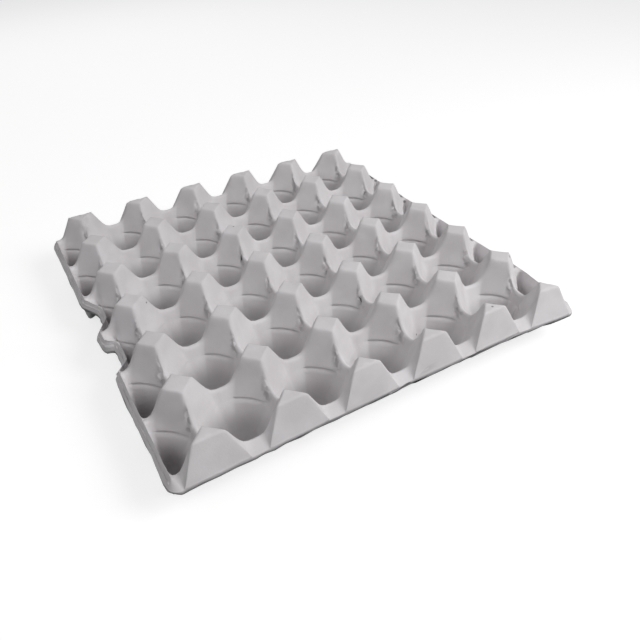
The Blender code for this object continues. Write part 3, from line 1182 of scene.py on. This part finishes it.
@dataclass(frozen=True)
class PulpFinish:
    """Dry grey paper pulp with its fibres and specks, and painted shade along the bare edge, in the
    feet of the cups and in jagged patches on the lower ridges.
    """

    colour: Colour = (0.730, 0.712, 0.724, 1.0)
    dark: Colour = (0.665, 0.642, 0.652, 1.0)
    # Painted shade: a flat grey for the shadowed bare edge.
    edge: Colour = (0.43, 0.42, 0.43, 1.0)
    speck: Colour = (0.12, 0.115, 0.11, 1.0)
    # Painted shade: a grey laid over the feet of the cups and over jagged patches on the lower
    # ridges.
    painted_shade: Colour = (0.30, 0.285, 0.29, 1.0)
    painted_shade_low: float = 0.004
    painted_shade_high: float = 0.021
    painted_shade_share: float = 0.45
    # Painted shade in jagged patches where the pulp is marked ragged, on the lower ridges:
    shade_jag_density: float = 260.0
    shade_jag_detail: float = 0.0
    shade_jag_low: float = 0.47
    shade_jag_high: float = 0.53
    shade_jag_share: float = 0.45
    roughness: float = 0.95
    specular: float = 0.15
    cloud_density: float = 45.0
    cloud_detail: float = 4.0
    cloud_low: float = 0.38
    cloud_high: float = 0.62
    fibre_density: float = 900.0
    fibre_detail: float = 5.0
    grain_density: float = 2600.0
    grain_detail: float = 2.0
    grain_share: float = 0.45
    speck_share: float = 0.8
    specks: tuple[tuple[Place, float], ...] = (
        ((0.0744, -0.1371, 0.0477), 0.0010),
        ((0.1275, -0.0975, 0.0459), 0.0012),
        ((-0.0208, 0.0509, 0.0471), 0.0008),
        ((-0.1093, -0.0023, 0.0411), 0.0008),
        ((0.0442, -0.1019, 0.0140), 0.0009),
        ((0.1424, 0.0915, 0.0275), 0.0018),
        ((0.1414, 0.0440, 0.0256), 0.0016),
    )
    bump_distance: float = 0.00025
    bump_strength: float = 0.35

    def material(self) -> bpy.types.Material:
        """Builds the material.

        Returns:
            The new material.
        """
        made = bpy.data.materials.new("pulp")
        made.use_nodes = True
        nodes = Nodes(made.node_tree)
        place = nodes.node("ShaderNodeTexCoord").outputs["Object"]
        shade = self.painted_shade_and_specks(nodes, place, self.mottled(nodes, place))
        # Painted shade: jagged dark patches on the lower ridges stand in for the broken edge of the
        # shade on the rough pulp.
        shade_jags = nodes.ranged(
            nodes.noise(place, self.shade_jag_density, self.shade_jag_detail),
            (self.shade_jag_low, self.shade_jag_high),
            (0.0, self.shade_jag_share),
        )
        ragged, cut = (
            nodes.node("ShaderNodeAttribute", attribute_name=name).outputs["Fac"]
            for name in ("ragged", "cut_edge")
        )
        shade = nodes.blend(nodes.math("MULTIPLY", shade_jags, ragged), shade, self.painted_shade)
        grain = nodes.noise(place, self.grain_density, self.grain_detail)
        fibres = nodes.noise(place, self.fibre_density, self.fibre_detail)
        relief = {
            "Strength": self.bump_strength,
            "Distance": self.bump_distance,
            "Height": nodes.math("MULTIPLY_ADD", grain, self.grain_share, fibres),
        }
        surface = {
            "Roughness": self.roughness,
            "Specular IOR Level": self.specular,
            # Painted shade along the bare edge; the marks of wear are darkened towards the same
            # grey.
            "Base Color": nodes.blend(cut, shade, self.edge),
            "Normal": nodes.node("ShaderNodeBump", relief).outputs[0],
        }
        nodes.feed(made.node_tree.nodes["Principled BSDF"], surface)
        return made

    def mottled(self, nodes: Nodes, place: bpy.types.NodeSocket) -> bpy.types.NodeSocket:
        """Mixes the two greys of the pulp in soft clouds.

        Args:
            nodes: The material's nodes.
            place: Where on the sheet a point lies.

        Returns:
            The colour.
        """
        clouds = nodes.noise(place, self.cloud_density, self.cloud_detail)
        ramp = nodes.node("ShaderNodeValToRGB", {0: clouds})
        low, high = ramp.color_ramp.elements
        low.position, low.color = self.cloud_low, self.dark
        high.position, high.color = self.cloud_high, self.colour
        return ramp.outputs[0]

    def painted_shade_and_specks(
        self, nodes: Nodes, place: bpy.types.NodeSocket, shade: bpy.types.NodeSocket
    ) -> bpy.types.NodeSocket:
        """Paints shade into the feet of the cups, darker towards the bottom, and adds the specks.

        Args:
            nodes: The material's nodes.
            place: Where on the sheet a point lies.
            shade: The colour so far.

        Returns:
            The colour with its painted shade and specks.
        """
        # Painted shade: darker towards the bottoms of the cups, where shade falls.
        height = nodes.node("ShaderNodeSeparateXYZ", {0: place}).outputs["Z"]
        low = nodes.ranged(
            height,
            (self.painted_shade_low, self.painted_shade_high),
            (self.painted_shade_share, 0.0),
            interpolation_type="SMOOTHSTEP",
        )
        shade = nodes.blend(low, shade, self.painted_shade)
        for spot, radius in self.specks:
            away = nodes.node("ShaderNodeVectorMath", {0: place, 1: spot}, operation="DISTANCE")
            source, target = (radius / 2, radius), (self.speck_share, 0.0)
            near = nodes.ranged(away.outputs["Value"], source, target)
            shade = nodes.blend(near, shade, self.speck)
        return shade


@dataclass(frozen=True)
class Mark:
    """One place where the sheet is dented, torn or has sunk."""

    place: Place
    radius: float
    push: Place
    # How far the colour is darkened at the mark, towards the grey of the bare edge.
    darkening: float = 0.0


@dataclass(frozen=True)
class Wear:
    """The marks of use on the sheet."""

    marks: tuple[Mark, ...] = (
        Mark((-0.1180, 0.1322, 0.0450), 0.0045, (0.0012, 0.0020, 0.0), 0.25),
        Mark((-0.1205, 0.1285, 0.0380), 0.0045, (0.0012, 0.0020, 0.0), 0.35),
        Mark((-0.1220, 0.1262, 0.0310), 0.0040, (0.0010, 0.0016, 0.0), 0.25),
        Mark((-0.1440, -0.0135, 0.0235), 0.0060, (-0.0015, -0.0015, -0.0020), 0.9),
        Mark((0.0197, -0.1472, 0.0275), 0.0030, (0.0, 0.0030, -0.0010), 1.0),
        Mark((0.0162, -0.1470, 0.0288), 0.0022, (0.0, 0.0020, 0.0), 1.0),
        Mark((0.1475, -0.1482, 0.0245), 0.0600, (0.0, 0.0, -0.0040)),
    )
    foot_height: float = 0.02

    def apply(self, thing: bpy.types.Object) -> None:
        """Moves and darkens the sheet at each mark.

        Args:
            thing: The sheet, in which the feet stay on the ground.
        """
        darkness = thing.data.attributes["cut_edge"].data
        for index, vertex in enumerate(thing.data.vertices):
            for mark in self.marks:
                away = (vertex.co - Vector(mark.place)).length / mark.radius
                if away < 1.0:
                    share = (1.0 - away * away) ** 2
                    lift = min(1.0, vertex.co.z / self.foot_height)
                    vertex.co += Vector(mark.push) * share * lift
                    darkness[index].value = min(1.0, darkness[index].value + mark.darkening * share)
        log.info("%d marks of wear on %s", len(self.marks), thing.name)


@dataclass
class EggTray:
    """The moulded tray as one closed piece."""

    sizes: TraySizes = field(default_factory=TraySizes)
    finish: PulpFinish = field(default_factory=PulpFinish)
    wear: Wear = field(default_factory=Wear)
    layers: tuple[Layer, ...] = (
        Layer("Wave", 0.0012, 9.0),
        Layer("Lump", 0.0009, 60.0),
        Layer("Edge", 0.0030, 130.0, "cut_edge"),
        Layer("Ragged", 0.0060, 380.0, "ragged"),
    )
    layer_detail: float = 1.5
    weld_distance: float = 0.00002
    smoothing: int = 1
    bow_share: float = 0.5
    bow_across: float = -0.169
    bow_along: float = 0.0577
    bow_steps: int = 10
    twist: float = -0.099
    slide: float = 0.0013
    slide_power: float = 8.0
    seed: float = 4.0

    def upper(self, material: bpy.types.Material) -> bpy.types.Object:
        """Builds the upper skin, with its cups repeated by the node tree.

        Args:
            material: The skin's finish.

        Returns:
            The new object.
        """
        s = self.sizes
        skin = TraySkin(s, Skin.UPPER, FINE)
        cell = skin.cup_cell()
        surround = skin.surround(with_cups=False)
        values = {
            "Surround": surround,
            "Cups Across": s.cups_across,
            "Cups Deep": s.cups_deep,
            "Pitch X": s.pitch_x,
            "Pitch Y": s.pitch_y,
            "Weld Distance": self.weld_distance,
            "Fineness": self.smoothing,
            "Finish": material,
        }
        made = cup_repeat_tree().apply(cell, values, "upper_skin")
        bpy.data.objects.remove(surround, do_unlink=True)
        return made

    def under(self) -> bpy.types.Object:
        """Builds the underside, one wall lower.

        Returns:
            The new object.
        """
        thing = TraySkin(self.sizes, Skin.UNDER, PLAIN).surround(with_cups=True)
        modifier = thing.modifiers.new("soft", "SUBSURF")
        modifier.levels = modifier.render_levels = self.smoothing
        return settled(thing, "under_skin")

    def closed(self, upper: bpy.types.Object, under: bpy.types.Object) -> bpy.types.Object:
        """Joins the two skins along the bare edge.

        Args:
            upper: The upper skin.
            under: The underside.

        Returns:
            One object whose faces point outwards.
        """
        mesh = bmesh.new()
        cut = mesh.verts.layers.float.new("cut_edge")
        mesh.verts.layers.float.new("ragged")
        for thing in (upper, under):
            mesh.from_mesh(thing.data)
            bpy.data.objects.remove(thing, do_unlink=True)
        border = [edge for edge in mesh.edges if edge.is_boundary]
        log.info("bare edge: %d edges, open ones in both skins", len(border))
        rim = {vertex for edge in border for vertex in edge.verts}
        bmesh.ops.bridge_loops(mesh, edges=border)
        left = [edge for edge in mesh.edges if not edge.is_manifold]
        log.info("edges left open: %d", len(left))
        bmesh.ops.recalc_face_normals(mesh, faces=mesh.faces)
        # Marks the bare edge, which the finish paints in shade and the uneven tree roughens.
        for vertex in rim:
            vertex[cut] = 1.0
        data = bpy.data.meshes.new("sheet")
        mesh.to_mesh(data)
        mesh.free()
        return new_object("sheet", data)

    def bow(self) -> dict[str, float]:
        """Works out the inputs that bow the tray without leaving its own height.

        Returns:
            A value for each of the node tree's inputs that bow it.
        """
        s, share = self.sizes, self.bow_share
        steps = range(-self.bow_steps, self.bow_steps + 1)
        rises = [
            self.bow_across * x * x + self.bow_along * y * y + self.twist * x * y
            for x in (s.rim_x * step / self.bow_steps for step in steps)
            for y in (s.rim_y * step / self.bow_steps for step in steps)
        ]
        return {
            "Bow Across": self.bow_across * share,
            "Bow Along": self.bow_along * share,
            "Twist": self.twist * share,
            "Bow Rise": -min(rises) * share,
            "Height Share": 1.0 - (max(rises) - min(rises)) * share / s.height,
        }

    def fit(self, thing: bpy.types.Object, box: tuple[Vector, Vector]) -> None:
        """Brings the uneven sheet back to the tray's own outer size.

        Args:
            thing: The sheet.
            box: Lowest and highest corner that it may fill.
        """
        corners = [vertex.co for vertex in thing.data.vertices]
        turn = Matrix.Identity(4)
        for axis in range(3):
            low, high = min(c[axis] for c in corners), max(c[axis] for c in corners)
            scale = (box[1][axis] - box[0][axis]) / (high - low)
            turn[axis][axis] = scale
            turn[axis][3] = box[0][axis] - low * scale
        thing.data.transform(turn)

    def build(self, box: tuple[Vector, Vector]) -> bpy.types.Object:
        """Builds and dresses the tray.

        Args:
            box: Lowest and highest corner that it may fill.

        Returns:
            The tray.
        """
        material = self.finish.material()
        sheet = self.closed(self.upper(material), self.under())
        values = {
            "Layer Detail": self.layer_detail,
            "Seed": self.seed,
            "Slide": self.slide,
            "Slide Power": self.slide_power,
            "Half Width": self.sizes.rim_x,
            "Finish": material,
            **self.bow(),
        }
        for layer in self.layers:
            values[f"{layer.name} Height"] = layer.height
            values[f"{layer.name} Density"] = layer.density
        tray = uneven_pulp_tree(self.layers).apply(sheet, values, "pulp_tray")
        self.wear.apply(tray)
        self.fit(tray, box)
        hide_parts("tray")
        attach(tray, "root")
        return tray


@dataclass(frozen=True)
class Lamp:
    """A soft square lamp that points at the tray."""

    name: str
    azimuth: float
    elevation: float
    size: float
    energy: float
    distance: float = 1.25

    def hang(self) -> None:
        """Hangs the lamp at its angles."""
        a, e = math.radians(self.azimuth), math.radians(self.elevation)
        place = Vector((math.cos(a) * math.cos(e), math.sin(a) * math.cos(e), math.sin(e)))
        data = bpy.data.lights.new(self.name, "AREA")
        data.size = self.size
        data.energy = self.energy
        thing = new_object(self.name, data)
        thing.location = place * self.distance
        thing.rotation_mode = "QUATERNION"
        thing.rotation_quaternion = place.to_track_quat("Z", "Y")
        log.info("%s at %.0f, %.0f degrees", self.name, self.azimuth, self.elevation)


@dataclass(frozen=True)
class Studio:
    """The camera, the floor and the lamps."""

    azimuth: float = -28.80
    elevation: float = 37.81
    roll: float = -2.43
    lens: float = 34.21
    sensor: float = 36.0
    nearest: float = 0.01
    place: Place = (-0.1685, -0.3524, 0.2800)
    lamps: tuple[Lamp, ...] = (
        Lamp("key lamp", -46.0, 40.0, 0.6, 10.8),
        Lamp("left lamp", 205.0, 45.0, 1.0, 3.7),
        Lamp("back lamp", 90.0, 40.0, 1.0, 3.0),
    )
    sky: float = 0.08
    sky_seen: float = 1.0
    white: Colour = (1.0, 1.0, 1.0, 1.0)
    floor_half: float = 6.0
    floor_colour: Colour = (0.42, 0.42, 0.42, 1.0)
    floor_glow: float = 0.72

    def camera(self) -> None:
        """Sets the camera at the photograph's viewing angle."""
        a, e, r = (math.radians(value) for value in (self.azimuth, self.elevation, self.roll))
        back = Vector((math.sin(a) * math.cos(e), -math.cos(a) * math.cos(e), math.sin(e)))
        level = Vector((math.cos(a), math.sin(a), 0.0))
        rise = back.cross(level)
        right = level * math.cos(r) + rise * math.sin(r)
        up = back.cross(right)
        data = bpy.data.cameras.new("camera")
        data.lens = self.lens
        data.sensor_width = self.sensor
        data.clip_start = self.nearest
        thing = new_object("camera", data)
        turn = Matrix((right, up, back)).transposed().to_4x4()
        thing.matrix_world = Matrix.Translation(self.place) @ turn
        bpy.context.scene.camera = thing

    @staticmethod
    def seen(nodes: Nodes) -> bpy.types.NodeSocket:
        """Tells what the camera sees, also in a reflection or through glass.

        Args:
            nodes: The nodes that are added to.

        Returns:
            1 where the camera sees it, and otherwise 0.
        """
        rays = nodes.node("ShaderNodeLightPath").outputs
        seen = rays["Is Camera Ray"]
        for kind in ("Is Glossy Ray", "Is Transmission Ray"):
            seen = nodes.math("MAXIMUM", seen, rays[kind])
        return seen

    def floor(self) -> None:
        """Lays the pale floor."""
        mesh = bpy.data.meshes.new("floor")
        signs = ((-1, -1), (1, -1), (1, 1), (-1, 1))
        corners = [(x * self.floor_half, y * self.floor_half, 0.0) for x, y in signs]
        mesh.from_pydata(corners, [], [(0, 1, 2, 3)])
        material = bpy.data.materials.new("floor")
        material.use_nodes = True
        material.node_tree.nodes.clear()
        nodes = Nodes(material.node_tree)
        diffuse = nodes.node("ShaderNodeBsdfDiffuse", {"Color": self.floor_colour})
        strength = nodes.math("MULTIPLY", self.seen(nodes), self.floor_glow)
        glow = nodes.node("ShaderNodeEmission", {"Strength": strength})
        both = nodes.node("ShaderNodeAddShader", {0: diffuse.outputs[0], 1: glow.outputs[0]})
        nodes.node("ShaderNodeOutputMaterial", {"Surface": both.outputs[0]})
        mesh.materials.append(material)
        new_object("floor", mesh)

    def world(self) -> None:
        """Lights the room evenly, and shows white behind the floor."""
        world = bpy.data.worlds.new("room")
        world.use_nodes = True
        nodes = Nodes(world.node_tree)
        strength = nodes.ranged(self.seen(nodes), (0.0, 1.0), (self.sky, self.sky_seen))
        links = {"Color": self.white, "Strength": strength}
        nodes.feed(world.node_tree.nodes["Background"], links)
        bpy.context.scene.world = world

    def build(self) -> None:
        """Sets up everything round the tray."""
        self.camera()
        self.floor()
        for lamp in self.lamps:
            lamp.hang()
        self.world()
        bpy.context.scene.view_settings.view_transform = "Standard"


def main() -> None:
    """Builds the tray and the studio, and reports each piece."""
    logging.basicConfig(level=logging.INFO, format="%(message)s")
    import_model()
    tray = EggTray().build(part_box("tray"))
    tray.data.calc_loop_triangles()
    log.info("%s: %d triangles", tray.name, len(tray.data.loop_triangles))
    Studio().build()


if __name__ == "__main__":
    main()
